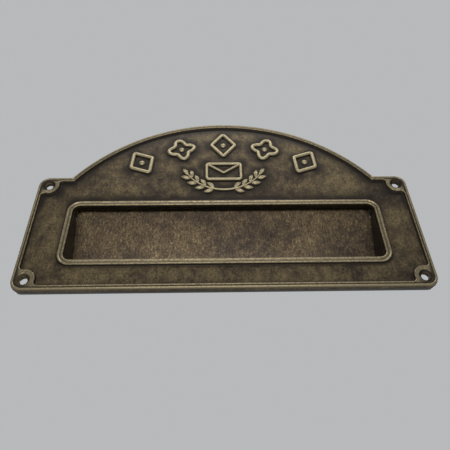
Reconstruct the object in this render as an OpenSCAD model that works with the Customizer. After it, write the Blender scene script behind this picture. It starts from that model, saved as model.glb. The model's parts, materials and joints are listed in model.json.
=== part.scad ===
// Cast brass letter plate with a flap that swings inwards, for letters pushed in through a wall or a door.
// Upright as mounted: X across, Z up, the front faces -Y, and the wall is the plane Y = 0.
// The origin is the centre of the four wall-screw holes. The flap is drawn closed.

/* [Front plate] */
// Width of the plate
plate_w = 290; // [280:1:350]
// Height of the straight sides, from the bottom edge to the top of the ears
side_h = 100; // [96:1:124]
// Length of the flat top of each ear
ear_flat = 25; // [21:1:32]
// Rise of the arched top above the ears
arch_rise = 61; // [50:1:76]
// Depth of the plate, from the crest of its rim to the wall
plate_t = 6; // [5.4:0.1:8]
// Thickness of the cast panel
panel_t = 2.2; // [1.8:0.1:2.8]
// How far the panel lies behind the crest of the rim
panel_drop = 1.8; // [1.4:0.1:2.2]
// Width of the raised rim
rim_w = 4; // [3:0.1:5]
// Depth of the groove along the rim and the slot's band
groove_drop = 0.7; // [0.4:0.1:1]
// How much wider the sides are at the wall than at the rim
side_draft = 0.8; // [0.4:0.1:1.2]

/* [Wall screws] */
// Clear diameter of each hole
wall_hole_d = 5.4; // [4.5:0.1:6.5]
// Diameter of the countersink at the front
countersink_d = 9.4; // [8:0.1:11]
// Distance of each hole from the two edges next to it, which is also the radius of the corners
hole_inset = 8.5; // [7.5:0.1:10.2]
// How far in front of the wall each hole ends, in the hollow behind it
hole_end = 1.6; // [1:0.1:1.8]
// Width of the wall left round that hollow
boss_wall = 2.8; // [2:0.1:3.2]

/* [Letter slot] */
// Clear width of the slot
slot_w = 227; // [180:1:232]
// Clear height of the slot
slot_h = 47; // [38:1:57]
// How far the slot's middle lies below the middle of the wall screws
slot_drop = 2.5; // [0:0.5:5]
// Radius of the slot's corners
slot_r = 5; // [3:0.5:6]
// Width of the raised band around the slot
band_w = 4.5; // [3.5:0.1:5.5]

/* [Ornaments] */
// Height of one motif
motif_h = 27; // [18:0.5:28]
// Width of one motif
motif_w = 22; // [15:0.5:23]
// Width of the raised strokes
stroke_w = 3; // [1.8:0.1:3.2]
// How far the ornaments stand out of the panel
motif_rise = 1.4; // [1:0.1:1.6]
// Distance of the motifs' centres below the plate's arched edge
motif_inset = 25.3; // [22:0.1:30]
// Angle between neighbouring motifs about the centre of the arch
motif_pitch = 16.4; // [14:0.2:18]
// Height of the emblem's centre above the slot's top edge
emblem_lift = 30; // [28:0.5:34]

/* [Flap and hinge] */
// Angle of the closed flap from the vertical, its foot further in
flap_tilt = 16.5; // [12:0.5:20]
// How far the flap swings inwards
flap_swing = 70; // [45:1:72]
// Thickness of the flap's sheet
flap_t = 1.5; // [1:0.1:2]
// How far the flap reaches below the sill's top face
flap_foot = 5; // [4:0.5:7]
// How far the flap reaches past each cheek's outer face
flap_lap = 1.2; // [0.5:0.1:2]
// Diameter of the hinge rod
rod_d = 3; // [2.5:0.1:4]
// Distance of the rod's axis behind the wall plane
rod_y = 6; // [5.5:0.1:8]
// Height of the rod's axis above the slot's top edge
rod_lift = 3; // [2:0.5:6]
// Radius of the ear that holds the rod
ear_r = 5; // [4.5:0.1:6]

/* [Chute] */
// Thickness of the cheeks, the sill and the hood
sheet_t = 1.5; // [1:0.1:2]
// Width of the feet that are screwed to the plate
foot_w = 9.5; // [8.5:0.1:12]
// Thickness of the buffers under the flap
buffer_t = 1; // [0.6:0.1:1.5]

/* [Fixing screws] */
// Diameter of the fixing screws
fixing_d = 3; // [2.5:0.1:3.5]
// Diameter of their heads
fixing_head_d = 5.5; // [5:0.1:6.5]
// Diameter of the cast posts that they are driven into
post_d = 8; // [7:0.1:9]
// Height of a washer
washer_t = 0.5; // [0.3:0.1:0.8]

/* [Clearances] */
// Radial clearance of the flap's knuckle on the rod
rod_fit = 0.05; // [0.02:0.01:0.1]
// Gap between the flap and what it comes close to
flap_gap = 0.3; // [0.3:0.1:0.6]

/* [Hidden] */
$fn = 96;

// The plate's outline
arch_span = plate_w - 2 * ear_flat;
arch_r = (pow(arch_span / 2, 2) + pow(arch_rise, 2)) / (2 * arch_rise);
arch_z = side_h / 2 + arch_rise - arch_r;
hole_x = plate_w / 2 - hole_inset;
hole_z = side_h / 2 - hole_inset;
// Planes along Y: the panel's front, its back, and the groove's floor
panel_front = -plate_t + panel_drop;
panel_back = panel_front + panel_t;
groove_floor = -plate_t + groove_drop;
groove_w = rim_w * 0.3;
skirt_w = rim_w + 1;
collar_w = 3;
// The slot
slot_x = slot_w / 2;
slot_top = slot_h / 2 - slot_drop;
slot_bottom = -slot_h / 2 - slot_drop;
// The hinge
rod_r = rod_d / 2;
rod_z = slot_top + rod_lift;
knuckle_r = rod_r + rod_fit + flap_t;
rod_washer_t = 0.5;
rod_washer_r = knuckle_r + 0.3;
rod_groove_r = rod_r - 0.3;
clip_t = 0.8;
clip_r = rod_r + 1.7;
rod_end = slot_x + sheet_t + clip_t + 1.6;
// The flap, measured down its own plane from the rod's axis
shoulder_len = ear_r + 2.5;
flap_len = (rod_z - slot_bottom + flap_foot) / cos(flap_tilt);
flap_top_x = slot_x - rod_washer_t - flap_gap;
flap_x = slot_x + sheet_t + flap_lap;
hem_h = 3;
flap_corner_r = 3;
// The seat lies this far in front of the rod's axis, at right angles to the closed flap
seat_y = knuckle_r + flap_gap + buffer_t;
buffer_w = 12;
buffer_h = 3.6;
buffer_x = slot_x * 0.8;
buffer_z = (slot_bottom - flap_foot / 2 - rod_z + seat_y * sin(flap_tilt)) / cos(flap_tilt);
// The hood clears the ears, and its lip stops the open flap
hood_z = rod_z + ear_r + 1;
hood_y = rod_y + ear_r + 2;
open_angle = flap_tilt + flap_swing;
stop_u = hood_y - sheet_t - rod_y;
stop_z = rod_z - (knuckle_r - flap_t + stop_u * cos(open_angle)) / sin(open_angle) + flap_gap + 0.1;
// The fixing screws: [x, z] of each post
foot_mid = sheet_t + foot_w / 2;
strip_xs = [-slot_x * 0.75, 0, slot_x * 0.75];
cheek_foot_x = slot_x + foot_w + 4;
cheek_post_x = slot_x + foot_w / 2 + 3.2;
cheek_foot_low = slot_bottom + 2;
cheek_foot_high = slot_top - 3;
cheek_posts = [for (x = [-cheek_post_x, cheek_post_x], z = [cheek_foot_low + 7, cheek_foot_high - 7]) [x, z]];
sill_posts = [for (x = strip_xs) [x, slot_bottom - foot_mid]];
hood_posts = [for (x = strip_xs) [x, hood_z + foot_mid]];
fixing_grip = panel_t + (-panel_back) - 0.8;
thread_r = fixing_d / 2;
shank_r = thread_r - 0.05;
foot_hole_r = thread_r + 0.2;
fixing_head_h = 1.9;
fixing_washer_r = fixing_head_d / 2 + 0.5;
far = 200;

// Extrudes an outline in X and Z from the plane Y = front to the plane Y = back
module slab(front, back)
    translate([0, back, 0]) rotate([90, 0, 0]) linear_extrude(back - front) children();

// Extrudes an outline in Y and Z from the plane X = left to the plane X = right
module strip(left, right)
    translate([left, 0, 0]) rotate([90, 0, 90]) linear_extrude(right - left) children();

module bar_x(r, left, right)
    translate([left, 0, 0]) rotate([0, 90, 0]) cylinder(h = right - left, r = r);

module bar_y(r, front, back)
    translate([0, back, 0]) rotate([90, 0, 0]) cylinder(h = back - front, r = r);

module at_points(points)
    for (p = points) translate([p[0], 0, p[1]]) children();

// The flap's own axes: Z up its plane, Y through it, with the origin on the rod's axis
module at_flap()
    translate([0, rod_y, rod_z]) rotate([flap_tilt, 0, 0]) children();

module rounded(w, h, r) {
    square([w - 2 * r, h], center = true);
    square([w, h - 2 * r], center = true);
    for (x = [-1, 1], z = [-1, 1])
        translate([x * (w / 2 - r), z * (h / 2 - r)]) circle(r);
}

// The outline of the plate, moved inwards
module plate_outline(inset = 0) {
    rounded(plate_w - 2 * inset, side_h - 2 * inset, hole_inset - inset);
    intersection() {
        translate([0, arch_z]) circle(arch_r - inset);
        translate([-arch_span / 2, 0]) square([arch_span, side_h / 2 + arch_rise]);
    }
}

// The outline of the slot, moved outwards
module slot_outline(outset = 0)
    translate([0, -slot_drop]) rounded(slot_w + 2 * outset, slot_h + 2 * outset, slot_r + outset);

module hole_discs(r)
    for (x = [-hole_x, hole_x], z = [-hole_z, hole_z]) translate([x, z]) circle(r);

module ring(inset, width) {
    difference() {
        plate_outline(inset);
        plate_outline(inset + width);
        hole_discs(hole_inset - inset);
    }
}

module lozenge() {
    side_gap = motif_w * motif_h / 2 / norm([motif_w, motif_h]);
    points = [[0, motif_h / 2], [motif_w / 2, 0], [0, -motif_h / 2], [-motif_w / 2, 0]];
    difference() {
        polygon(points);
        scale(1 - stroke_w / side_gap) polygon(points);
    }
    circle(stroke_w * 0.85);
}

module quatrefoil() {
    lobe_r = (motif_w + motif_h) / 8;
    difference() {
        for (a = [0:90:270]) rotate(a) translate([lobe_r, 0]) circle(lobe_r);
        for (a = [0:90:270]) rotate(a) translate([lobe_r, 0]) circle(lobe_r - stroke_w);
        circle(lobe_r * 0.88);
    }
    circle(stroke_w * 0.85);
}

// A leaf that points along X, as wide as its two arcs make it
module leaf(length, width) {
    leaf_r = (pow(length / 2, 2) + pow(width / 2, 2)) / width;
    intersection() {
        translate([0, leaf_r - width / 2]) circle(leaf_r);
        translate([0, width / 2 - leaf_r]) circle(leaf_r);
    }
}

// An envelope over two crossed sprigs
module emblem() {
    paper_w = 30;
    paper_h = 19;
    paper_z = 5;
    stem_r = 34;
    stem_z = 20;
    translate([0, paper_z]) difference() {
        rounded(paper_w, paper_h, 2);
        rounded(paper_w - 2 * stroke_w * 0.8, paper_h - 2 * stroke_w * 0.8, 0.8);
    }
    translate([0, paper_z]) intersection() {
        rounded(paper_w, paper_h, 2);
        for (side = [-1, 1])
            translate([0, -1.5]) rotate(side * 36) translate([side > 0 ? 0 : -20, -0.8]) square([20, 1.6]);
    }
    translate([0, stem_z]) intersection() {
        difference() {
            circle(stem_r + 0.7);
            circle(stem_r - 0.7);
        }
        polygon([[0, 0], [-far, -far * 0.62], [0, -far], [far, -far * 0.62]]);
    }
    for (side = [-1, 1], turn = [14, 26, 38, 50], edge = [-1, 1])
        translate([0, stem_z]) mirror([side > 0 ? 0 : 1, 0]) rotate(turn - 90)
            translate([stem_r, 0]) rotate(90 - edge * 32) translate([4.4, 0]) leaf(8, 3.2);
}

module ornaments()
    slab(panel_front - motif_rise, panel_front + 0.2) {
        for (i = [-2:2])
            translate([0, arch_z]) rotate(-i * motif_pitch) translate([0, arch_r - motif_inset])
                if (i % 2 == 0) lozenge(); else quatrefoil();
        translate([0, slot_top + emblem_lift]) emblem();
    }

module plate_blank() {
    slab(-plate_t, 0) plate_outline(side_draft);
    slab(-plate_t / 2, 0) plate_outline();
}

module front_recesses() {
    slab(-plate_t - 1, panel_front) difference() {
        plate_outline(rim_w + side_draft);
        hole_discs(hole_inset - side_draft);
        slot_outline(band_w);
    }
    slab(-plate_t - 1, groove_floor) {
        ring(side_draft + rim_w * 0.35, groove_w);
        difference() {
            slot_outline(band_w * 0.35 + groove_w);
            slot_outline(band_w * 0.35);
        }
    }
}

module back_recess() {
    slab(panel_back, 1) difference() {
        plate_outline(skirt_w);
        hole_discs(hole_inset);
        slot_outline(collar_w);
    }
    slab(-hole_end, 1) hole_discs(hole_inset - boss_wall);
}

module wall_hole() {
    sink_h = (countersink_d - wall_hole_d) / 2;
    bar_y(wall_hole_d / 2, -plate_t - 1, 1);
    translate([0, -plate_t, 0]) rotate([-90, 0, 0])
        cylinder(h = sink_h, r1 = countersink_d / 2, r2 = wall_hole_d / 2);
}

module front_plate() color([0.44, 0.35, 0.20]) difference() {
    union() {
        difference() {
            plate_blank();
            front_recesses();
            back_recess();
        }
        at_points(concat(cheek_posts, sill_posts, hood_posts)) bar_y(post_d / 2, panel_back - 0.2, 0);
        ornaments();
    }
    slab(-plate_t - 1, 1) slot_outline();
    at_points([for (x = [-hole_x, hole_x], z = [-hole_z, hole_z]) [x, z]]) wall_hole();
    at_points(concat(cheek_posts, sill_posts, hood_posts)) bar_y(thread_r, -fixing_grip, 1);
}

// Everything behind the seat's plane, as an outline in Y and Z
module behind_seat()
    translate([rod_y, rod_z]) rotate(flap_tilt) translate([-seat_y, -far]) square(2 * far);

module cheek_side() {
    difference() {
        translate([0, slot_bottom - sheet_t]) square([far, slot_h + sheet_t]);
        behind_seat();
    }
    translate([0, rod_z]) square([rod_y, ear_r]);
    translate([rod_y, rod_z]) circle(ear_r);
    translate([rod_y, rod_z]) rotate(flap_tilt) translate([-seat_y, flap_gap - shoulder_len])
        square([seat_y, shoulder_len]);
}

module cheek() difference() {
    union() {
        strip(slot_x, slot_x + sheet_t) cheek_side();
        slab(0, sheet_t) translate([slot_x, cheek_foot_low])
            square([cheek_foot_x - slot_x, cheek_foot_high - cheek_foot_low]);
    }
    translate([0, rod_y, rod_z]) bar_x(rod_r + rod_fit, slot_x - 1, slot_x + sheet_t + 1);
    at_points(cheek_posts) bar_y(foot_hole_r, -1, sheet_t + 1);
}

module left_cheek() color([0.50, 0.41, 0.24]) mirror([1, 0, 0]) cheek();

module right_cheek() color([0.50, 0.41, 0.24]) cheek();

module sill() color([0.48, 0.39, 0.23]) difference() {
    strip(-slot_x + 0.1, slot_x - 0.1) {
        difference() {
            translate([0, slot_bottom - sheet_t]) square([far, sheet_t]);
            behind_seat();
        }
        intersection() {
            translate([rod_y, rod_z]) rotate(flap_tilt) translate([-seat_y - sheet_t, -far])
                square([sheet_t, 2 * far]);
            translate([0, slot_bottom - flap_foot]) square([far, flap_foot]);
        }
        translate([0, slot_bottom - sheet_t - foot_w]) square([sheet_t, sheet_t + foot_w]);
    }
    at_points(sill_posts) bar_y(foot_hole_r, -1, sheet_t + 1);
}

module hood() color([0.48, 0.39, 0.23]) difference() {
    strip(-slot_x, slot_x) {
        translate([0, hood_z]) square([sheet_t, sheet_t + foot_w]);
        translate([0, hood_z]) square([hood_y, sheet_t]);
        translate([hood_y - sheet_t, stop_z]) square([sheet_t, hood_z + sheet_t - stop_z]);
    }
    at_points(hood_posts) bar_y(foot_hole_r, -1, sheet_t + 1);
}

module flap_outline() {
    translate([-flap_top_x, -shoulder_len - 1]) square([2 * flap_top_x, shoulder_len + 1]);
    translate([-flap_x, -flap_len + flap_corner_r])
        square([2 * flap_x, flap_len - shoulder_len - flap_corner_r]);
    translate([-flap_x + flap_corner_r, -flap_len]) square([2 * (flap_x - flap_corner_r), flap_corner_r + 1]);
    for (x = [-1, 1]) translate([x * (flap_x - flap_corner_r), -flap_len + flap_corner_r]) circle(flap_corner_r);
}

module flap() color([0.36, 0.28, 0.15]) at_flap() difference() {
    union() {
        bar_x(knuckle_r, -flap_top_x, flap_top_x);
        slab(-knuckle_r, -knuckle_r + flap_t) flap_outline();
        slab(-knuckle_r + flap_t, -knuckle_r + 2 * flap_t)
            translate([-flap_x + flap_corner_r, -flap_len]) square([2 * (flap_x - flap_corner_r), hem_h]);
    }
    bar_x(rod_r + rod_fit, -flap_top_x - 1, flap_top_x + 1);
}

module hinge_rod() color([0.66, 0.57, 0.36]) translate([0, rod_y, rod_z]) difference() {
    bar_x(rod_r, -rod_end, rod_end);
    for (side = [0, 1]) mirror([side, 0, 0]) difference() {
        bar_x(rod_r + 1, slot_x + sheet_t, slot_x + sheet_t + clip_t);
        bar_x(rod_groove_r, slot_x, rod_end);
    }
}

module rod_washer() translate([0, rod_y, rod_z]) difference() {
    bar_x(rod_washer_r, slot_x - rod_washer_t, slot_x);
    bar_x(rod_r + rod_fit, slot_x - 1, slot_x + 1);
}

module left_rod_washer() color([0.72, 0.62, 0.38]) mirror([1, 0, 0]) rod_washer();

module right_rod_washer() color([0.72, 0.62, 0.38]) rod_washer();

// A spring clip that snaps into the rod's groove from below
module rod_clip() translate([0, rod_y, rod_z]) difference() {
    bar_x(clip_r, slot_x + sheet_t, slot_x + sheet_t + clip_t);
    bar_x(rod_groove_r, slot_x, rod_end);
    translate([slot_x, -rod_groove_r * 0.9, -far]) cube([far, rod_groove_r * 1.8, far]);
}

module left_rod_clip() color([0.40, 0.40, 0.42]) mirror([1, 0, 0]) rod_clip();

module right_rod_clip() color([0.40, 0.40, 0.42]) rod_clip();

module buffer()
    at_flap() translate([buffer_x - buffer_w / 2, -seat_y, buffer_z - buffer_h / 2])
        cube([buffer_w, buffer_t, buffer_h]);

module left_buffer() color([0.12, 0.12, 0.12]) mirror([1, 0, 0]) buffer();

module right_buffer() color([0.12, 0.12, 0.12]) buffer();

// A pan-head screw driven into a post, with its washer's place left free
module fixing_screw() {
    head_y = sheet_t + washer_t;
    recess_w = fixing_head_d * 0.58;
    difference() {
        union() {
            bar_y(shank_r, -fixing_grip + 0.3, head_y);
            bar_y(fixing_head_d / 2, head_y, head_y + fixing_head_h * 0.6);
            translate([0, head_y + fixing_head_h * 0.6, 0]) rotate([-90, 0, 0])
                cylinder(h = fixing_head_h * 0.4, r1 = fixing_head_d / 2, r2 = fixing_head_d * 0.36);
        }
        for (turn = [0, 90]) translate([0, head_y + fixing_head_h, 0]) rotate([0, turn, 0])
            cube([recess_w, fixing_head_h, 0.8], center = true);
    }
}

module fixing_washer() difference() {
    bar_y(fixing_washer_r, sheet_t, sheet_t + washer_t);
    bar_y(foot_hole_r, 0, sheet_t + 1);
}

module cheek_screws() color([0.62, 0.55, 0.38]) at_points(cheek_posts) fixing_screw();

module cheek_screw_washers() color([0.70, 0.62, 0.42]) at_points(cheek_posts) fixing_washer();

module sill_screws() color([0.62, 0.55, 0.38]) at_points(sill_posts) fixing_screw();

module sill_screw_washers() color([0.70, 0.62, 0.42]) at_points(sill_posts) fixing_washer();

module hood_screws() color([0.62, 0.55, 0.38]) at_points(hood_posts) fixing_screw();

module hood_screw_washers() color([0.70, 0.62, 0.42]) at_points(hood_posts) fixing_washer();

front_plate();
left_cheek();
right_cheek();
sill();
hood();
flap();
hinge_rod();
left_rod_washer();
right_rod_washer();
left_rod_clip();
right_rod_clip();
left_buffer();
right_buffer();
cheek_screws();
cheek_screw_washers();
sill_screws();
sill_screw_washers();
hood_screws();
hood_screw_washers();
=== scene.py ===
import json
from math import acos, atan2, cos, degrees, pi, radians, sin, sqrt
import bmesh
import bpy
import numpy as np
from mathutils import Matrix, Vector

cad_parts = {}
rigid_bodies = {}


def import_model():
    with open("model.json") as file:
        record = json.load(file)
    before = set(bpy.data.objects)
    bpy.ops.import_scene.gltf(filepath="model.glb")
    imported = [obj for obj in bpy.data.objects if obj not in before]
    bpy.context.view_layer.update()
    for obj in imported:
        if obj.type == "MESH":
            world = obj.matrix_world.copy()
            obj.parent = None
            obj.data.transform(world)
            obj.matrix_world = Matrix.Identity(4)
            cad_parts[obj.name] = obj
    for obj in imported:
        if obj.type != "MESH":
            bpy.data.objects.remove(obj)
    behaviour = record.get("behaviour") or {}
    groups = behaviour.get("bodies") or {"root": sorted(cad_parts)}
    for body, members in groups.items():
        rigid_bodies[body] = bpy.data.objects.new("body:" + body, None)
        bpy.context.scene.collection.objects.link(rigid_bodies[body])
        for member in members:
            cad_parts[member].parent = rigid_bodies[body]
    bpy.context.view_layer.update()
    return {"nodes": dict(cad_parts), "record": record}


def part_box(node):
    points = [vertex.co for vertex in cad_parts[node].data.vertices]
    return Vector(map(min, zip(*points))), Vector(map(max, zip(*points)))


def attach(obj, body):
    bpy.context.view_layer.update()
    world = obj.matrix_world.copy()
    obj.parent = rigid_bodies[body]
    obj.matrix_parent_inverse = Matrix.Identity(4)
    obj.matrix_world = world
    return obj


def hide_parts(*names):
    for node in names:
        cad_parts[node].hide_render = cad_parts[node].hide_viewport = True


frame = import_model()
mm = 0.001
print("loaded the frame:", len(frame["nodes"]), "nodes")

# sizes and places in millimetres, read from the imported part
mounts = {m["name"]: m for m in frame["record"]["mounts"]}
wallScrews = mounts["wall_screws"]
hinge = frame["record"]["behaviour"]["joints"][0]
plateLow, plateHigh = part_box("front_plate")
cheekLow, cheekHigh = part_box("right_cheek")
sillLow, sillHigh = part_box("sill")
hoodLow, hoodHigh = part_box("hood")
flapLow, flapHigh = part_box("flap")

halfWidth, plateTop = plateHigh.x / mm, plateHigh.z / mm
plateBottom, rimFront = plateLow.z / mm, plateLow.y / mm
holeX = wallScrews["dims"]["spacing_x_mm"] / 2
holeZ = wallScrews["dims"]["spacing_y_mm"] / 2
holeR = wallScrews["dims"]["hole_r_mm"]
holeEnd = wallScrews["pos_m"][1] / mm
slotX, slotBottom = cheekLow.x / mm, sillHigh.z / mm
rodY, rodZ = hinge["pos_m"][1] / mm, hinge["pos_m"][2] / mm
cornerR = halfWidth - holeX
earTop = holeZ + cornerR


# mesh tools: every shape is worked out in millimetres and stored in metres

def gridFaces(nu, nv, closeU, closeV):
    # corner numbers of the quads between neighbouring rows and columns
    u = np.arange(nu if closeU else nu - 1)[:, None]
    v = np.arange(nv if closeV else nv - 1)[None, :]
    u2, v2 = (u + 1) % nu, (v + 1) % nv
    quads = np.stack([u * nv + v, u2 * nv + v, u2 * nv + v2, u * nv + v2], axis=-1)
    return quads.reshape(-1, 4)


def makeMesh(name, points, quads):
    mesh = bpy.data.meshes.new(name)
    mesh.vertices.add(len(points))
    mesh.vertices.foreach_set("co", (np.asarray(points, float) * mm).ravel())
    mesh.loops.add(quads.size)
    mesh.loops.foreach_set("vertex_index", quads.ravel().astype(np.int32))
    mesh.polygons.add(len(quads))
    mesh.polygons.foreach_set("loop_start", np.arange(len(quads), dtype=np.int32) * quads.shape[1])
    mesh.update(calc_edges=True)
    mesh.validate()
    return mesh


def tidyMesh(mesh, sharpAngle):
    # merges the points that meet at poles and seams, turns the faces outwards, and smooths up to an angle
    bm = bmesh.new()
    bm.from_mesh(mesh)
    bmesh.ops.remove_doubles(bm, verts=bm.verts, dist=1e-6)
    bmesh.ops.dissolve_degenerate(bm, edges=bm.edges, dist=1e-7)
    bmesh.ops.recalc_face_normals(bm, faces=bm.faces)
    bm.to_mesh(mesh)
    bm.free()
    mesh.polygons.foreach_set("use_smooth", np.ones(len(mesh.polygons), bool))
    mesh.set_sharp_from_angle(angle=radians(sharpAngle))
    mesh.update()


def linkObject(name, data):
    thing = bpy.data.objects.new(name, data)
    bpy.context.scene.collection.objects.link(thing)
    return thing


def addObject(name, mesh, material):
    mesh.materials.append(material)
    return linkObject(name, mesh)


def meshPoints(piece):
    co = np.empty(len(piece.data.vertices) * 3)
    piece.data.vertices.foreach_get("co", co)
    return co.reshape(-1, 3) / mm


def joinGrids(name, grids, material, closeU=True, closeV=True, sharpAngle=40, layers=None):
    # several grids of one shape in one mesh; a layer holds a number for every point, which the material reads
    nu, nv = grids[0].shape[:2]
    quads = gridFaces(nu, nv, closeU, closeV)
    quads = np.concatenate([quads + k * nu * nv for k in range(len(grids))])
    mesh = makeMesh(name, np.concatenate([grid.reshape(-1, 3) for grid in grids]), quads)
    for label, values in (layers or {}).items():
        mesh.attributes.new(label, "FLOAT", "POINT").data.foreach_set("value", values.ravel())
    tidyMesh(mesh, sharpAngle)
    return addObject(name, mesh, material)


def gridPiece(name, grid, material, **settings):
    return joinGrids(name, [grid], material, **settings)


def arc(cx, cz, r, startDeg, endDeg, n):
    # n points of a circle's arc, the last point left out
    a = np.radians(np.linspace(startDeg, endDeg, n, endpoint=False))
    return np.stack([cx + r * np.cos(a), cz + r * np.sin(a)], axis=1)


def line(start, end, n):
    # n points of a straight line, the last point left out
    t = np.linspace(0, 1, n, endpoint=False)[:, None]
    return np.asarray(start, float) * (1 - t) + np.asarray(end, float) * t


def closeHalf(parts):
    # the right half of a loop, from its lowest to its highest point, and its mirror image back down
    half = np.concatenate(parts)
    return np.concatenate([half, half[-2:0:-1] * [-1.0, 1.0]])


def roundedPath(corners, radius, n, closed):
    # straight lines between the corners, each rounded by an arc of n + 1 points that touches both lines
    corners = np.asarray(corners, float)
    total = len(corners)
    bends = range(total) if closed else range(1, total - 1)
    parts = [] if closed else [corners[:1]]
    for i in bends:
        here = corners[i]
        back = corners[i - 1] - here
        ahead = corners[(i + 1) % total] - here
        back, ahead = back / np.linalg.norm(back), ahead / np.linalg.norm(ahead)
        half = acos(np.clip(back @ ahead, -1, 1)) / 2
        middle = (back + ahead) / np.linalg.norm(back + ahead)
        centre = here + middle * radius / sin(half)
        swing = pi / 2 - half
        side = np.array([-middle[1], middle[0]])
        side = side if side @ back > 0 else -side
        a = np.linspace(swing, -swing, n + 1)[:, None]
        parts.append(centre + radius * (-middle * np.cos(a) + side * np.sin(a)))
    if not closed:
        parts.append(corners[-1:])
    return np.concatenate(parts)


def sideways(path, closed):
    # unit vectors at right angles to a path in its plane
    if closed:
        along = np.roll(path, -1, axis=0) - np.roll(path, 1, axis=0)
    else:
        along = np.gradient(path, axis=0)
    along = along / np.linalg.norm(along, axis=1)[:, None]
    return np.stack([along[:, 1], -along[:, 0]], axis=1)


# shader groups

class Wires:
    # adds nodes to a tree and joins them up
    def __init__(self, tree):
        self.tree = tree

    def node(self, kind, **settings):
        made = self.tree.nodes.new(kind)
        for key, value in settings.items():
            setattr(made, key, value)
        return made

    def put(self, value, socket):
        if isinstance(value, bpy.types.NodeSocket):
            self.tree.links.new(value, socket)
        else:
            socket.default_value = value

    def math(self, operation, a, b=None, clamp=False):
        made = self.node("ShaderNodeMath", operation=operation, use_clamp=clamp)
        self.put(a, made.inputs[0])
        if b is not None:
            self.put(b, made.inputs[1])
        return made.outputs[0]

    def ramp(self, value, low, high, toLow=0.0, toHigh=1.0):
        made = self.node("ShaderNodeMapRange", interpolation_type="SMOOTHSTEP")
        for k, part in enumerate((value, low, high, toLow, toHigh)):
            self.put(part, made.inputs[k])
        return made.outputs[0]

    def mix(self, factor, a, b):
        made = self.node("ShaderNodeMix", data_type="RGBA")
        self.put(factor, made.inputs[0])
        self.put(a, made.inputs[6])
        self.put(b, made.inputs[7])
        return made.outputs[2]

    def noise(self, vector, scale, detail=3.0, roughness=0.55, distortion=0.0):
        made = self.node("ShaderNodeTexNoise")
        labels = ("Vector", "Scale", "Detail", "Roughness", "Distortion")
        for label, value in zip(labels, (vector, scale, detail, roughness, distortion)):
            self.put(value, made.inputs[label])
        return made.outputs["Fac"]


def newGroup(name, inputs, outputs):
    # an input is given as its usual number or as the kind of its socket
    group = bpy.data.node_groups.new(name, "ShaderNodeTree")
    for label, value in inputs.items():
        kind = value if isinstance(value, str) else "Float"
        socket = group.interface.new_socket(name=label, in_out="INPUT", socket_type="NodeSocket" + kind)
        if kind == "Float":
            socket.default_value = value
    for label, kind in outputs.items():
        group.interface.new_socket(name=label, in_out="OUTPUT", socket_type="NodeSocket" + kind)
    w = Wires(group)
    return group, w, w.node("NodeGroupInput").outputs, w.node("NodeGroupOutput").inputs


def makePatinaGroup():
    # dark metal in two sizes of soft blotch, with fine grain that darkens its pits and brightens its peaks
    group, w, source, result = newGroup("patina", {
        "Vector": "Vector", "Dark": "Color", "Light": "Color", "Fleck": "Color",
        "Blotch Scale": 40.0, "Fleck Scale": 900.0, "Fleck Amount": 0.5, "Streak": 0.3, "Pit Amount": 0.5,
    }, {"Color": "Color", "Flecks": "Float", "Height": "Float"})
    vector = source["Vector"]
    blotch = w.ramp(w.noise(vector, source["Blotch Scale"], 5.0, 0.62, 0.5), 0.34, 0.68)
    patchScale = w.math("MULTIPLY", source["Blotch Scale"], 5.5)
    patch = w.ramp(w.noise(vector, patchScale, 4.0, 0.65, 0.3), 0.36, 0.66)
    tone = w.math("ADD", w.math("MULTIPLY", blotch, 0.6), w.math("MULTIPLY", patch, 0.4))
    stretch = w.node("ShaderNodeMapping")
    stretch.inputs["Scale"].default_value = (1.0, 1.0, 0.3)
    w.put(vector, stretch.inputs["Vector"])
    streak = w.noise(stretch.outputs[0], w.math("MULTIPLY", source["Fleck Scale"], 0.8), 3.0, 0.65)
    fine = w.noise(vector, source["Fleck Scale"], 4.0, 0.7)
    grain = w.math("ADD", w.math("MULTIPLY", streak, source["Streak"]),
                   w.math("MULTIPLY", fine, w.math("SUBTRACT", 1.0, source["Streak"])))
    fleck = w.math("MULTIPLY", w.ramp(grain, 0.50, 0.63), w.math("ADD", w.math("MULTIPLY", tone, 0.8), 0.2))
    fleck = w.math("MULTIPLY", fleck, source["Fleck Amount"], clamp=True)
    pit = w.math("MULTIPLY", w.ramp(grain, 0.49, 0.38), source["Pit Amount"])
    base = w.mix(tone, source["Dark"], source["Light"])
    base = w.mix(pit, base, (0.012, 0.009, 0.008, 1))
    height = w.math("ADD", w.math("MULTIPLY", grain, 0.7), w.math("MULTIPLY", tone, 0.3))
    w.put(w.mix(fleck, base, source["Fleck"]), result["Color"])
    w.put(fleck, result["Flecks"])
    w.put(height, result["Height"])
    return group


def makeWearShadeGroup():
    # rubbed metal on what stands furthest forward, dirt and painted shade at the feet of raised parts, and
    # painted shade on walls set back behind the panel's face: all are soft steps in depth; noise breaks up
    # the rubbed part
    group, w, source, result = newGroup("raisedWearShade", {
        "Vector": "Vector", "Worn Depth": 0.0, "Dark Depth": 0.0, "Ground Depth": 0.0,
        "Breakup": 0.35, "Breakup Scale": 520.0,
    }, {"Mask": "Float", "DirtShade": "Float"})
    parts = w.node("ShaderNodeSeparateXYZ")
    w.put(source["Vector"], parts.inputs[0])
    depth = parts.outputs["Y"]
    mask = w.ramp(depth, source["Dark Depth"], source["Worn Depth"])
    rough = w.noise(source["Vector"], source["Breakup Scale"], 5.0, 0.7)
    loss = w.math("MULTIPLY", w.ramp(rough, 0.42, 0.62), source["Breakup"])
    step = w.math("SUBTRACT", depth, source["Ground Depth"])
    # dirt and painted shade just in front of the ground, and painted shade on all that lies behind it, such
    # as the slot's walls
    inFront, behind = w.ramp(step, -0.10 * mm, -0.32 * mm), w.ramp(step, 0.25 * mm, 0.9 * mm)
    w.put(w.math("MULTIPLY", mask, w.math("SUBTRACT", 1.0, loss), clamp=True), result["Mask"])
    w.put(w.math("ADD", inFront, behind, clamp=True), result["DirtShade"])
    return group


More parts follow.
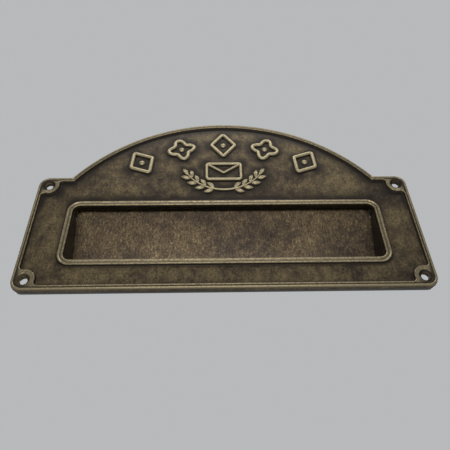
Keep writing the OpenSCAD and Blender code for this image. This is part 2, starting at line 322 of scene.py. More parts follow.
def makeCastGroup():
    # the skin of a casting: shallow waves and fine grit
    group, w, source, result = newGroup("castSkin", {
        "Vector": "Vector", "Wave Scale": 160.0, "Grit Scale": 1400.0, "Grit": 0.4,
    }, {"Height": "Float"})
    wave = w.noise(source["Vector"], source["Wave Scale"], 2.0, 0.5)
    grit = w.noise(source["Vector"], source["Grit Scale"], 3.0, 0.6)
    w.put(w.math("ADD", wave, w.math("MULTIPLY", grit, source["Grit"])), result["Height"])
    return group


patinaGroup = makePatinaGroup()
wearShadeGroup = makeWearShadeGroup()
castGroup = makeCastGroup()


def startMaterial(name):
    # a bare surface and the object's own coordinates
    material = bpy.data.materials.new(name)
    material.use_nodes = True
    tree = material.node_tree
    tree.nodes.clear()
    w = Wires(tree)
    surface = w.node("ShaderNodeBsdfPrincipled")
    w.put(surface.outputs[0], w.node("ShaderNodeOutputMaterial").inputs[0])
    vector = w.node("ShaderNodeTexCoord").outputs["Object"]
    return material, w, surface, vector


def useGroup(w, group, **values):
    made = w.node("ShaderNodeGroup", node_tree=group)
    for label, value in values.items():
        w.put(value, made.inputs[label.replace("_", " ")])
    return made.outputs


def bump(w, surface, height, distance):
    made = w.node("ShaderNodeBump")
    made.inputs["Distance"].default_value = distance
    w.put(height, made.inputs["Height"])
    w.put(made.outputs[0], surface.inputs["Normal"])


def meshLayer(w, name):
    # a number that a mesh holds for every point
    return w.node("ShaderNodeAttribute", attribute_name=name).outputs["Fac"]


def agedBrass(name, look):
    # patina over a casting, rubbed back to bright metal where it stands proud, under a thin lacquer
    material, w, surface, vector = startMaterial(name)
    moved = w.node("ShaderNodeMapping")
    moved.inputs["Location"].default_value = look["patternShift"]
    w.put(vector, moved.inputs["Vector"])
    patina = useGroup(w, patinaGroup, Vector=moved.outputs[0], Dark=look["dark"], Light=look["light"],
                      Fleck=look["fleck"], Blotch_Scale=look["blotchScale"], Fleck_Scale=look["fleckScale"],
                      Fleck_Amount=look["fleckAmount"], Streak=look["streak"], Pit_Amount=look["pitAmount"])
    cast = useGroup(w, castGroup, Vector=vector, Grit=look["grit"])
    colour, flecks = patina["Color"], patina["Flecks"]
    rough = w.ramp(flecks, 0.0, 1.0, look["roughDark"], look["roughFleck"])
    if look["raised"]:
        wearShade = useGroup(w, wearShadeGroup, Vector=vector, Worn_Depth=look["wornDepth"] * mm,
                        Dark_Depth=look["darkDepth"] * mm, Ground_Depth=look["groundDepth"] * mm,
                        Breakup=look["breakup"])
        # painted shade and dirt on the ground beside the rim, the slot frame and the ornaments, and on the
        # ornaments below their rubbed crests, read from a mesh layer
        uneven = w.ramp(w.noise(vector, 90.0, 4.0, 0.6), 0.30, 0.62, 0.7, 1.0)
        corners = w.ramp(w.math("MULTIPLY", meshLayer(w, "grimeShade"), uneven), 0.0, 0.75)
        colour = w.mix(w.math("MULTIPLY", corners, look["cornerDirtShade"]), colour, look["stainShade"])
        # dirt and painted shade at the feet of raised parts and on walls set back behind the panel, with a
        # smaller share on the rear
        dirtShadeShare = w.math("SUBTRACT", look["dirtShadeAmount"], meshLayer(w, "back"), clamp=True)
        colour = w.mix(w.math("MULTIPLY", wearShade["DirtShade"], dirtShadeShare), colour, look["dirtShade"])
        rubbed = w.math("MAXIMUM", wearShade["Mask"], meshLayer(w, "rub"))
        colour = w.mix(rubbed, colour, look["worn"])
        rough = w.ramp(rubbed, 0.0, 1.0, rough, look["roughWorn"])
    w.put(colour, surface.inputs["Base Color"])
    w.put(rough, surface.inputs["Roughness"])
    surface.inputs["Metallic"].default_value = look["metallic"]
    surface.inputs["Coat Weight"].default_value = look["lacquer"]
    surface.inputs["Coat Roughness"].default_value = look["roughLacquer"]
    height = w.math("ADD", w.math("MULTIPLY", patina["Height"], 0.5), cast["Height"])
    bump(w, surface, height, look["bump"] * mm)
    return material


plateLook = {
    "dark": (0.025, 0.0175, 0.013, 1), "light": (0.138, 0.103, 0.051, 1), "fleck": (0.25, 0.19, 0.095, 1),
    "worn": (0.250, 0.202, 0.118, 1),
    "dirtShade": (0.022, 0.017, 0.012, 1), "dirtShadeAmount": 0.85,  # dirt and painted shade on steps and walls
    "stainShade": (0.0150, 0.0104, 0.0066, 1), "cornerDirtShade": 1.0,  # dirt and painted shade on the flat ground beside them
    "patternShift": (0.074, 0.0, 0.106),  # metres
    "blotchScale": 32.0, "fleckScale": 700.0, "fleckAmount": 0.5, "pitAmount": 0.7, "streak": 0.3,
    "roughDark": 0.46, "roughFleck": 0.36, "roughWorn": 0.36,
    "raised": True,  # whether what stands proud is rubbed and the rest carries dirt and painted shade
    "wornDepth": -5.75, "darkDepth": -5.25, "groundDepth": -4.2,
    "lacquer": 0.08, "roughLacquer": 0.14,
    "breakup": 0.5, "metallic": 0.85, "grit": 0.5, "bump": 0.12,
}
ornamentLook = dict(plateLook, worn=(0.325, 0.272, 0.162, 1), wornDepth=-4.85, darkDepth=-4.35, breakup=0.2)
flapLook = dict(
    plateLook, dark=(0.028, 0.019, 0.014, 1), light=(0.088, 0.062, 0.033, 1), patternShift=(0.0, 0.0, 0.0),
    raised=False, fleckAmount=0.62, fleckScale=900.0, streak=0.4, pitAmount=0.8, blotchScale=26.0,
    roughDark=0.44, grit=0.35, bump=0.08)
# near-black: the chute's dark oxide, deepened as painted shade for the slot's shadowed inside
chuteLook = dict(flapLook, dark=(0.014, 0.011, 0.008, 1), light=(0.042, 0.032, 0.020, 1), fleckAmount=0.22,
                 roughDark=0.36, grit=0.15, bump=0.04)
smallPart = dict(flapLook, fleckAmount=0.3, grit=0.1, bump=0.02, metallic=1.0)
hardwareLooks = {
    "rod": dict(smallPart, dark=(0.28, 0.21, 0.11, 1), light=(0.42, 0.33, 0.18, 1), roughDark=0.34),
    "screw": dict(smallPart, dark=(0.24, 0.18, 0.10, 1), light=(0.40, 0.32, 0.18, 1), fleckAmount=0.35,
                  blotchScale=200.0, roughDark=0.36),
    "washer": dict(smallPart, dark=(0.30, 0.23, 0.12, 1), light=(0.48, 0.38, 0.21, 1),
                   blotchScale=240.0, roughDark=0.32),
    "steel": dict(smallPart, dark=(0.10, 0.10, 0.11, 1), light=(0.20, 0.20, 0.21, 1),
                  fleck=(0.35, 0.34, 0.33, 1), blotchScale=220.0, roughDark=0.34),
    "rubber": dict(smallPart, dark=(0.012, 0.012, 0.012, 1), light=(0.025, 0.024, 0.023, 1),
                   fleck=(0.05, 0.05, 0.048, 1), blotchScale=260.0, roughDark=0.80, roughFleck=0.70,
                   grit=0.6, bump=0.05, metallic=0.0, lacquer=0.0),
}
plateBrass = agedBrass("plateBrass", plateLook)
ornamentBrass = agedBrass("ornamentBrass", ornamentLook)
flapBrass = agedBrass("flapBrass", flapLook)
chuteBrass = agedBrass("chuteBrass", chuteLook)
hardware = {key: agedBrass(key + "Metal", look) for key, look in hardwareLooks.items()}
print("made the materials")


# front plate: one closed surface carried between the plate's outline and the slot's

plateShape = {
    "earFlat": 25.0,  # length of each ear's flat top
    "slotHeight": 47.0, "slotCorner": 5.0,
    "panelFront": -4.2, "panelBack": -2.0,
    "bossFlat": -5.25,  # depth of the groove between the two crests
    "bossTop": -5.72,  # depth that the ground rises to beside a hole
    "bossWall": 2.8,  # left round the hollow behind each hole
    "innerInset": 4.3,  # the inner crest's foot on the straight sides
    "bossCrest": 8.0,  # the inner crest's foot round a hole
    "bossFillet": 2.4,
    "wave": 0.05,
    "sinkR": 4.7,  # of each countersink at the face
    "grimeShadeReach": (2.8, 6.5),  # how far the dirt and painted shade spread from the panel's edges, below and above the slot
    "grimeShadeDepth": (0.46, 1.0),  # how much of it lies at those edges, below and above the slot
    "rub": 0.85,  # how bright the rim is rubbed
    "rearLessDirtShade": 0.65,  # how much less dirt and painted shade lie on the rear
    "counts": {"bottom": 40, "bend": 10, "turn": 16, "side": 20, "ear": 8, "arch": 64, "panel": 40},
}
slotTop = slotBottom + plateShape["slotHeight"]
archRise = plateTop - earTop
archSpan = halfWidth - plateShape["earFlat"]
archR = (archSpan ** 2 + archRise ** 2) / (2 * archRise)
archZ = plateTop - archR
count = plateShape["counts"]
# each hole has two fillets: one centred at (flatEnd, filletZ), where the top edge ends, and one at
# (filletX, sideEnd), where the side ends
filletOut = cornerR - plateShape["innerInset"] - plateShape["bossFillet"]
filletAlong = sqrt((plateShape["bossCrest"] + plateShape["bossFillet"]) ** 2 - filletOut ** 2)
filletTurn = degrees(atan2(filletOut, filletAlong))
flatEnd, sideEnd = holeX - filletAlong, holeZ - filletAlong
filletX, filletZ = holeX + filletOut, holeZ + filletOut


def upperPart(inset):
    # the ear's top edge and the arch, both moved inwards by the inset, which meet in a corner
    top = earTop - inset
    radius = archR - inset
    meet = sqrt(radius ** 2 - (top - archZ) ** 2)
    turn = degrees(acos(meet / radius))
    return [
        line((flatEnd, top), (meet, top), count["ear"]),
        arc(0, archZ, radius, turn, 90, count["arch"]),
        np.array([[0.0, archZ + radius]]),
    ]


def plainLoop(inset):
    # the plate's outline moved inwards
    w, h, r = halfWidth - inset, earTop - inset, cornerR - inset
    bend, turn = count["bend"], count["turn"]
    return closeHalf([
        line((0, -h), (flatEnd, -h), count["bottom"]),
        line((flatEnd, -h), (holeX, -h), bend),
        arc(holeX, -holeZ, r, -90, 0, turn),
        line((w, -holeZ), (w, -sideEnd), bend),
        line((w, -sideEnd), (w, sideEnd), count["side"]),
        line((w, sideEnd), (w, holeZ), bend),
        arc(holeX, holeZ, r, 0, 90, turn),
        line((holeX, h), (flatEnd, h), bend),
        *upperPart(inset),
    ])


def bossLoop(offset):
    # the same outline further in, with a detour round each hole: a fillet, an arc about the hole and a fillet
    inset = plateShape["innerInset"] + offset
    w, h = halfWidth - inset, earTop - inset
    boss, fillet = plateShape["bossCrest"] + offset, plateShape["bossFillet"] - offset
    bend, turn = count["bend"], count["turn"]
    return closeHalf([
        line((0, -h), (flatEnd, -h), count["bottom"]),
        arc(flatEnd, -filletZ, fillet, -90, filletTurn, bend),
        arc(holeX, -holeZ, boss, 180 + filletTurn, 90 - filletTurn, turn),
        arc(filletX, -sideEnd, fillet, 270 - filletTurn, 360, bend),
        line((w, -sideEnd), (w, sideEnd), count["side"]),
        arc(filletX, sideEnd, fillet, 0, 90 + filletTurn, bend),
        arc(holeX, holeZ, boss, 270 + filletTurn, 180 - filletTurn, turn),
        arc(flatEnd, filletZ, fillet, -filletTurn, 90, bend),
        *upperPart(inset),
    ])


def slotLoop(outset):
    # the slot's outline moved outwards; its top edge is shared out between the ear and the arch
    w, r = slotX + outset, plateShape["slotCorner"] + outset
    cx = slotX - plateShape["slotCorner"]
    low, high = slotBottom + plateShape["slotCorner"], slotTop - plateShape["slotCorner"]
    corner = 2 * count["bend"] + count["turn"]
    top = slotTop + outset
    split = cx * 0.94
    sweep = np.radians(np.linspace(degrees(acos(archSpan / archR)), 90, count["arch"] + 1))
    archPart = np.stack([split * np.cos(sweep) / np.cos(sweep[0]), np.full(len(sweep), top)], axis=1)
    return closeHalf([
        line((0, slotBottom - outset), (cx, slotBottom - outset), count["bottom"]),
        arc(cx, low, r, -90, 0, corner),
        line((w, low), (w, high), count["side"]),
        arc(cx, high, r, 0, 90, corner),
        line((cx, top), (split, top), count["ear"]),
        archPart,
    ])


def castWave(points):
    # a few crossing sine waves of different lengths, as on a hand-finished pattern
    x, z = points[:, 0], points[:, 1]
    long, middle = np.sin(x * 0.071 + z * 0.043), np.sin(z * 0.118 - x * 0.031 + 1.3)
    return (long + middle + np.sin(x * 0.19 + 0.4) * 0.5) / 2.5


def atDepth(loop, y):
    # a flat loop across and up, set at a depth
    return np.stack([loop[:, 0], np.full(len(loop), float(y)), loop[:, 1]], axis=1)


def plateLayers(grid, panelStart, panelEnd, backStart):
    # dirt and painted shade fall off as an exponential of the distance from the panel's edges and fill the
    # steps there, the rim is rubbed where it stands furthest forward, and the rear has a smaller share of the
    # dirt and painted shade
    grimeShade, rub, back = np.zeros((3, *grid.shape[:2]))
    panel = grid[panelStart:panelEnd + 1]
    zone = (slotTop - 12, slotTop + 8)
    reach, depth = (np.interp(panel[:, :, 2], zone, plateShape[key]) for key in ("grimeShadeReach", "grimeShadeDepth"))
    for edge in (panel[:1], panel[-1:]):
        grimeShade[panelStart:panelEnd + 1] += depth * np.exp(-np.linalg.norm(panel - edge, axis=2) / reach)
    grimeShade[[panelStart - 1, panelStart - 2, panelEnd + 1, panelEnd + 2]] = 1.0
    rim = slice(0, 10)
    rub[rim] = np.clip((-grid[rim, :, 1] - 4.4) / 1.2, 0, 1) ** 1.5 * plateShape["rub"]
    back[backStart:] = plateShape["rearLessDirtShade"]
    back[0] = plateShape["rearLessDirtShade"]
    return {"grimeShade": np.clip(grimeShade, 0, 1), "rub": rub, "back": back}


def makePlateBody():
    # rows of loops from the rim's rear edge over the front, through the slot and back along the rear; each
    # pair below is a distance from the loop that the row follows, and a depth
    front, rear, flat = plateShape["panelFront"], plateShape["panelBack"], plateShape["bossFlat"]
    crest, swell = rimFront, plateShape["bossTop"] - flat
    rows = [atDepth(plainLoop(d), y) for d, y in [
        (0.25, 0.0), (0.0, -0.25), (0.0, -2.3), (0.1, -3.3), (0.3, -4.2), (0.55, -4.9), (0.85, -5.4),
        (1.2, -5.75), (1.55, -5.93), (1.85, crest), (2.15, crest + 0.08), (2.42, -5.7), (2.62, -5.4),
        (2.75, flat)]]
    outer, inner = plainLoop(2.75), bossLoop(-1.42)
    # the ground swells beside a hole and stays flat between the straight crests
    space = np.clip((np.linalg.norm(outer - inner, axis=1) - 0.6) / 2.5, 0, 1)
    for t in (0.3, 0.65):
        row = atDepth(outer * (1 - t) + inner * t, flat)
        row[:, 1] += swell * space * t
        rows.append(row)
    for d, y in [(-1.42, flat), (-1.25, -5.4), (-1.05, -5.75), (-0.8, crest + 0.04), (-0.5, crest),
                 (-0.22, -5.85), (-0.02, -5.5), (0.12, -5.0), (0.3, -4.55), (0.55, -4.3), (0.95, front)]:
        row = atDepth(bossLoop(d), y)
        if d < -0.8:
            row[:, 1] = np.minimum(y, flat + swell * space)
        rows.append(row)
    panelStart = len(rows) - 1
    outer, inner = bossLoop(0.95), slotLoop(5.3)
    for t in np.arange(1, count["panel"]) / count["panel"]:
        loop = outer * (1 - t) + inner * t
        row = atDepth(loop, front)
        row[:, 1] -= plateShape["wave"] * castWave(loop) * sin(pi * t) ** 0.5
        rows.append(row)
    panelEnd = len(rows)
    rows += [atDepth(slotLoop(o), y) for o, y in [
        (5.3, front), (4.95, -4.3), (4.7, -4.55), (4.5, -5.0), (4.35, -5.5), (4.1, -5.85), (3.75, crest),
        (3.4, -5.92), (3.0, -5.65), (2.7, -5.5), (2.3, -5.45), (1.9, -5.5), (1.6, -5.7), (1.25, -5.95),
        (0.85, crest), (0.45, -5.88), (0.15, -5.6), (0.0, -5.2), (0.0, -3.0), (0.0, -0.2)]]
    backStart = len(rows)
    rows += [atDepth(slotLoop(o), y) for o, y in [
        (0.2, 0.0), (2.8, 0.0), (3.0, -0.2), (3.0, rear + 0.4), (3.4, rear)]]
    outer, inner = slotLoop(3.4), bossLoop(1.1)
    for t in (0.25, 0.5, 0.75):
        rows.append(atDepth(outer * (1 - t) + inner * t, rear))
    rows += [atDepth(bossLoop(d), y) for d, y in [(1.1, rear), (0.7, rear + 0.4), (0.7, -0.2), (0.5, 0.0)]]
    grid = np.stack(rows)
    layers = plateLayers(grid, panelStart, panelEnd, backStart)
    return gridPiece("plateBody", grid, plateBrass, sharpAngle=50, layers=layers)


def lathe(profile, centre, n):
    # a profile of (radius, depth) turned about an axis along Y
    a = np.linspace(0, 2 * np.pi, n, endpoint=False)[:, None]
    r, y = np.asarray(profile, float).T
    y = np.broadcast_to(y, (n, len(y)))
    return np.stack([centre[0] + np.cos(a) * r, y, centre[1] + np.sin(a) * r], axis=2)


def cutHoles(body):
    # takes the four countersunk holes out of the plate
    top, sinkR, r = plateShape["bossTop"], plateShape["sinkR"], holeR
    hollowR = cornerR - plateShape["bossWall"]
    seat = top + sinkR - r
    profile = [(0, -9), (sinkR + 3, -9), (sinkR + 0.7, top - 0.25), (sinkR + 0.2, top + 0.1),
               (sinkR - 0.15, top + 0.5), (r + 0.12, seat - 0.1), (r, seat + 0.15), (r, holeEnd),
               (hollowR, holeEnd), (hollowR, 2), (0, 2)]
    holes = [lathe(profile, (x, z), 56) for x in (-holeX, holeX) for z in (-holeZ, holeZ)]
    cutter = joinGrids("holeCutter", holes, plateBrass, closeV=False)
    cut = body.modifiers.new("holes", "BOOLEAN")
    cut.operation, cut.solver, cut.object = "DIFFERENCE", "EXACT", cutter
    bpy.context.view_layer.update()
    result = bpy.data.meshes.new_from_object(body.evaluated_get(bpy.context.evaluated_depsgraph_get()))
    body.modifiers.clear()
    old = body.data
    body.data = result
    bpy.data.meshes.remove(old)
    bpy.data.objects.remove(cutter)
    tidyMesh(result, 50)


plateBody = makePlateBody()
cutHoles(plateBody)
print("plate body:", len(plateBody.data.polygons), "faces")


# raised ornaments: rounded strokes that lie on the panel

ornament = {
    "motifHeight": 27.0, "motifWidth": 22.0,
    "stroke": 3.1, "rise": 1.55, "sink": 0.25,
    "skirt": 1.5,  # width of the thin edge, darkened with dirt and painted shade, that spreads from each stroke over the panel
    "dirtShadeReach": 6.0,  # how far the dirt and painted shade reach over the panel round the strokes
    "inset": 25.3,  # of the motifs' centres below the arched edge
    "pitch": 16.4,  # degrees between neighbours, about the arch's centre
    "emblemLift": 30.0,  # of the emblem's centre above the slot
    "lozengeCorner": 1.6, "lozengeBead": 2.6,
    "swell": 0.24, "quatrefoilBead": 2.5,  # share by which the quatrefoil's radius swells
    "dome": 10,  # steps across a stroke
}

crossSteps = np.linspace(0, pi, ornament["dome"] + 1)
skirtSteps = np.array([1.0, 1.0, 0.62, 0.32, 0.12])  # sunk edge, then the skirt inwards
# how much dirt and painted shade each skirt row carries; the stroke between the skirts carries all of it
skirtGrimeShade = [0.9, 0.9, 0.93, 0.96, 1]
crossGrimeShade = np.concatenate([skirtGrimeShade, np.ones(len(crossSteps)), skirtGrimeShade[::-1]])


def strokeRows(path, closed, width, low=1.0, taper=None, vein=0.0, skirt=ornament["skirt"], level=0.06):
    # carries a low dome along a path: a half wave raised to a small power, a skirt just proud of the panel
    # on both sides of it, and an edge sunk in the panel; level is the skirt's height
    side = sideways(path, closed)
    dome = np.sin(crossSteps) ** 0.45 * (1 - vein * np.exp(-(np.cos(crossSteps) / 0.28) ** 2))
    n = len(skirtSteps)
    across = np.concatenate([np.ones(n), np.cos(crossSteps), -np.ones(n)])
    spread = np.concatenate([skirtSteps, np.zeros(len(dome)), -skirtSteps[::-1]]) * skirt
    lift = np.concatenate([np.zeros(n), dome * 0.94 + 0.06, np.zeros(n)])
    proud = np.full(len(across), float(level))
    proud[[0, -1]] = -ornament["sink"]
    scale = np.ones(len(path)) if taper is None else taper
    reach = across * (scale * width / 2)[:, None] + spread * np.minimum(scale * 2, 1)[:, None]
    flat = path[:, None, :] + side[:, None, :] * reach[:, :, None]
    y = plateShape["panelFront"] - ornament["rise"] * low * scale[:, None] * lift - proud
    return np.stack([flat[:, :, 0], y, flat[:, :, 1]], axis=2)


def strokePiece(name, path, width, closed=True, **shape):
    rows = strokeRows(path, closed, width, **shape)
    # dirt and painted shade over the stroke and its skirt
    layers = {"grimeShade": np.broadcast_to(crossGrimeShade, rows.shape[:2]).copy()}
    return gridPiece(name, rows, ornamentBrass, closeU=closed, layers=layers)


def roundEnds(path, width, middle, steps=7):
    # spaces a path's points for two rounded ends, and gives each point's share of the full width
    along = np.concatenate([[0], np.cumsum(np.linalg.norm(np.diff(path, axis=0), axis=1))])
    length = along[-1]
    reach = min(width / 2, length * 0.49)
    end = reach * (1 - np.cos(np.linspace(0, pi / 2, steps)))
    places = np.concatenate([end, np.linspace(reach, length - reach, middle)[1:-1], length - end[::-1]])
    near = np.minimum(places, length - places) / reach
    taper = np.where(near < 1, np.sqrt(np.clip(1 - (1 - near) ** 2, 0, 1)), 1.0)
    return np.stack([np.interp(places, along, axis) for axis in path.T], axis=1), taper


def turned(points, turn, shift):
    # flat points turned by degrees about the middle and then moved
    c, s = cos(radians(turn)), sin(radians(turn))
    return points @ np.array([[c, s], [-s, c]]) + np.asarray(shift, float)


def bead(name, radius, spot):
    # a round stud: a quarter circle turned about its middle, with the same skirt as the strokes
    a = np.linspace(0, pi / 2, 7)
    front, rise, skirt, around = plateShape["panelFront"], ornament["rise"], ornament["skirt"] * 0.8, 28
    profile = [(0, front + ornament["sink"]), (radius + skirt, front + ornament["sink"])]
    profile += [(radius + skirt * k, front - 0.05) for k in skirtSteps[1:]]
    profile += [(radius * cos(t), front - 0.05 - rise * sin(t)) for t in a]
    profile[-1] = (0, front - 0.05 - rise)
    # dirt and painted shade over the bead and its skirt
    grimeShade = np.concatenate([[0], skirtGrimeShade, np.ones(len(a))])
    layers = {"grimeShade": np.tile(grimeShade, (around, 1))}
    return gridPiece(name, lathe(profile, spot, around), ornamentBrass, closeV=False, layers=layers)


def motif(name, i, path, beadRadius):
    # a ring along the path and a bead in its middle, turned to stand square to the arch, whose middle is 0
    turn = -i * ornament["pitch"]
    spot = turned([0, archR - ornament["inset"]], turn, (0, archZ))
    ring = strokePiece(name, turned(path, turn, spot), ornament["stroke"])
    return [ring, bead(name + "Bead", beadRadius, spot)]


def makeLozenge(name, i):
    # four straight sides; each corner is moved out by what its rounding takes off, and in by half a stroke
    w, h, r = ornament["motifWidth"] / 2, ornament["motifHeight"] / 2, ornament["lozengeCorner"]
    tip = atan2(w, h)
    w += r * (1 / cos(tip) - 1) - ornament["stroke"] / 2
    h += r * (1 / sin(tip) - 1) - ornament["stroke"] / 2
    path = roundedPath([(w, 0), (0, h), (-w, 0), (0, -h)], r, 8, True)
    return motif(name, i, path, ornament["lozengeBead"])


def makeQuatrefoil(name, i):
    # a circle whose radius swells four times on its way round
    a = np.linspace(0, 2 * pi, 96, endpoint=False)
    lobe = (ornament["motifWidth"] + ornament["motifHeight"]) / 4
    swell = ornament["swell"]
    radius = (lobe - ornament["stroke"] / 2) / (1 + swell) * (1 + swell * np.cos(4 * a))
    path = np.stack([radius * np.cos(a), radius * np.sin(a)], axis=1)
    return motif(name, i, path, ornament["quatrefoilBead"])


emblem = {
    "paper": (30.0, 19.0), "paperLift": 5.0, "paperStroke": 2.5, "paperCorner": 1.9,
    "flapStroke": 2.1, "flapDip": -1.5,  # the fold's lowest point, from the paper's middle
    "stemRadius": 34.0, "stemLift": 20.0, "stemWidth": 1.9,
    "stemStart": -6.0, "stemEnd": 58.0, "leafTurns": (14, 26, 38, 50),  # degrees round the stem's circle
    "leafLength": 8.4, "leafWidth": 3.5, "leafOffset": 0.6,
    "leafSpread": 32.0,  # degrees between a leaf and its stem
}


def makeEmblem():
    # an envelope over two sprigs that cross below it
    e = emblem
    spot = np.array([0, slotTop + ornament["emblemLift"]])
    w, h = (np.array(e["paper"]) - e["paperStroke"]) / 2
    centre = spot + [0, e["paperLift"]]
    edge = roundedPath([(w, -h), (w, h), (-w, h), (-w, -h)], e["paperCorner"], 8, True) + centre
    parts = [strokePiece("envelope", edge, e["paperStroke"])]
    fold = roundedPath([(-w + 0.4, h - 0.4), (0, e["flapDip"]), (w - 0.4, h - 0.4)], 1.6, 8, False) + centre
    fold, taper = roundEnds(fold, e["flapStroke"], middle=40)
    parts.append(strokePiece("envelopeFlap", fold, e["flapStroke"], closed=False,
                             low=0.85, taper=taper, skirt=1.0, level=0.052))
    hub = spot + [0, e["stemLift"]]
    for side, label in ((-1, "left"), (1, "right")):
        turns = np.radians(np.linspace(e["stemStart"], e["stemEnd"], 60))
        stem = np.stack([side * np.sin(turns), -np.cos(turns)], axis=1) * e["stemRadius"] + hub
        stem, taper = roundEnds(stem, e["stemWidth"], middle=50)
        taper = taper * np.linspace(1.0, 0.55, len(taper))
        parts.append(strokePiece(label + "Stem", stem, e["stemWidth"], closed=False,
                                 low=0.8, taper=taper, level=0.064 + side * 0.002))
        spots = [(turn, edgeSide) for turn in e["leafTurns"] for edgeSide in (-1, 1)]
        spots.append((e["stemEnd"] - 1, 0))
        leaves = [leafRows(hub, side, turn, edgeSide, k) for k, (turn, edgeSide) in enumerate(spots)]
        # dirt and painted shade over each leaf and its skirt
        layers = {"grimeShade": np.tile(crossGrimeShade, (len(leaves) * leaves[0].shape[0], 1))}
        parts.append(joinGrids(label + "Leaves", leaves, ornamentBrass, closeU=False, layers=layers))
    return parts


def leafRows(hub, side, turn, edgeSide, number):
    # a slightly bowed stroke whose width and height follow a half wave, with a vein pressed along it
    e = emblem
    t = radians(turn)
    out = np.array([side * sin(t), -cos(t)])
    along = np.array([side * cos(t), sin(t)])
    lean = radians(edgeSide * e["leafSpread"])
    ahead = along * cos(lean) + out * sin(lean)
    cross = out * cos(lean) - along * sin(lean)
    s = 0.5 - 0.5 * np.cos(np.linspace(0, pi, 15))
    start = hub + out * (e["stemRadius"] + edgeSide * e["leafOffset"])
    bow = np.sin(s * pi)[:, None] * cross * edgeSide * 0.5
    path = start + ahead * (s * e["leafLength"])[:, None] + bow
    share = np.sin(pi * s ** 0.85) ** 0.8
    share[[0, -1]] = 0.0
    return strokeRows(path, False, e["leafWidth"], low=0.95, taper=share, vein=0.28,
                      skirt=0.7, level=0.07 + 0.002 * number)


ornaments = makeEmblem()
makers = (("Lozenge", makeLozenge), ("Quatrefoil", makeQuatrefoil))
for i, label in enumerate(("farLeft", "left", "middle", "right", "farRight")):
    kind, maker = makers[i % 2]
    ornaments += maker(label + kind, i - 2)


def darkenAround(body, pieces):
    # dirt and painted shade darken the panel round the ornaments: they fade as an exponential of the distance
    # to the nearest
    points = meshPoints(body)
    marks = np.concatenate([meshPoints(piece)[::13] for piece in pieces])[:, [0, 2]]
    near = np.flatnonzero((points[:, 2] > slotTop) & (np.abs(points[:, 1] - plateShape["panelFront"]) < 0.2))
    here = points[near][:, [0, 2]]
    gap = (here ** 2).sum(1)[:, None] + (marks ** 2).sum(1)[None, :] - 2 * here @ marks.T
    gap = np.sqrt(np.maximum(gap.min(axis=1), 0))
    values = np.empty(len(points))
    layer = body.data.attributes["grimeShade"].data
    layer.foreach_get("value", values)
    values[near] = np.maximum(values[near], 0.95 * np.exp(-gap / ornament["dirtShadeReach"]))
    layer.foreach_set("value", values)


darkenAround(plateBody, ornaments)
print("ornaments:", len(ornaments), "pieces")


# the back of the casting: posts that take the fixing screws

def makePosts():
    # one short post under each washer, with a fillet at its foot
    spots = []
    for node in ("cheek_screws", "sill_screws", "hood_screws"):
        spots += solidSpots(node)
    r, back = 4.0, plateShape["panelBack"]
    foot = [(r + 1 - sin(t), back + 1 - cos(t)) for t in np.linspace(0, pi / 2, 6)]
    profile = [(0, back - 0.3), (r + 1.0, back - 0.3), *foot, (r, -0.3), (r - 0.25, -0.02), (0, -0.02)]
    grids = [lathe(profile, spot, 32) for spot in spots]
    # the posts take the rear's smaller share of dirt and painted shade
    layers = {"back": np.full((len(grids), 32, len(profile)), plateShape["rearLessDirtShade"])}
    return joinGrids("castPosts", grids, plateBrass, closeV=False, layers=layers)


def solidSpots(node):
    # the middle of each separate solid of a node, across and up, in mm
    points = meshPoints(frame["nodes"][node])
    cell = 8.0
    cells = {}
    for x, z in np.unique(np.round(points[:, [0, 2]] / cell), axis=0) * cell:
        near = points[(np.abs(points[:, 0] - x) < cell) & (np.abs(points[:, 2] - z) < cell)]
        spot = (near.min(0) + near.max(0)) / 2
        cells[(round(spot[0]), round(spot[2]))] = (spot[0], spot[2])
    return list(cells.values())


castPosts = makePosts()
print("posts:", len(castPosts.data.polygons), "faces")


# sheet parts: a bent line carried across, given a thickness

sheet = {"thickness": 1.5, "bend": 1.3, "bevel": 0.22}  # bend is each corner's radius on the centre line


def sheetPiece(name, middle, thickness, reach, material, columns=24, bevel=sheet["bevel"], wave=0.0):
    # middle is the sheet's centre line in Y and Z; the two faces lie half a thickness to each side of it,
    # and reach says how far it goes across at each point of that line
    side = sideways(middle, False)
    x = np.broadcast_to(reach, (len(middle),))[:, None] * np.linspace(-1, 1, columns + 1)
    faces = []
    for sign in (1, -1):
        skin = middle + side * sign * thickness / 2
        ripple = wave * np.sin(x * 0.031 + 0.7) * np.sin(x * 0.077 + skin[:, 1:2] * 0.06)
        y = skin[:, 0:1] + ripple * side[:, 0:1]
        z = skin[:, 1:2] + ripple * side[:, 1:2]
        faces.append(np.stack([x, y, z], axis=2))
    nu, nv = x.shape
    quads = gridFaces(nu, nv, False, False)
    rimU = np.concatenate([np.arange(nv), np.arange(1, nu) * nv + nv - 1,
                           (nu - 1) * nv + np.arange(nv - 2, -1, -1), np.arange(nu - 2, 0, -1) * nv])
    rimV = np.roll(rimU, -1)
    n = nu * nv
    border = np.stack([rimU, rimV, rimV + n, rimU + n], axis=1)
    mesh = makeMesh(name, np.concatenate([f.reshape(-1, 3) for f in faces]),
                    np.concatenate([quads, quads[:, ::-1] + n, border]))
    tidyMesh(mesh, 40)
    piece = addObject(name, mesh, material)
    addBevel(piece, bevel)
    return piece


def addBevel(piece, width):
    # rounds the edges where two faces turn by more than 50 degrees
    rounded = piece.modifiers.new("edges", "BEVEL")
    rounded.width, rounded.segments = width * mm, 2
    rounded.limit_method, rounded.angle_limit = "ANGLE", radians(50)
    rounded.harden_normals = True


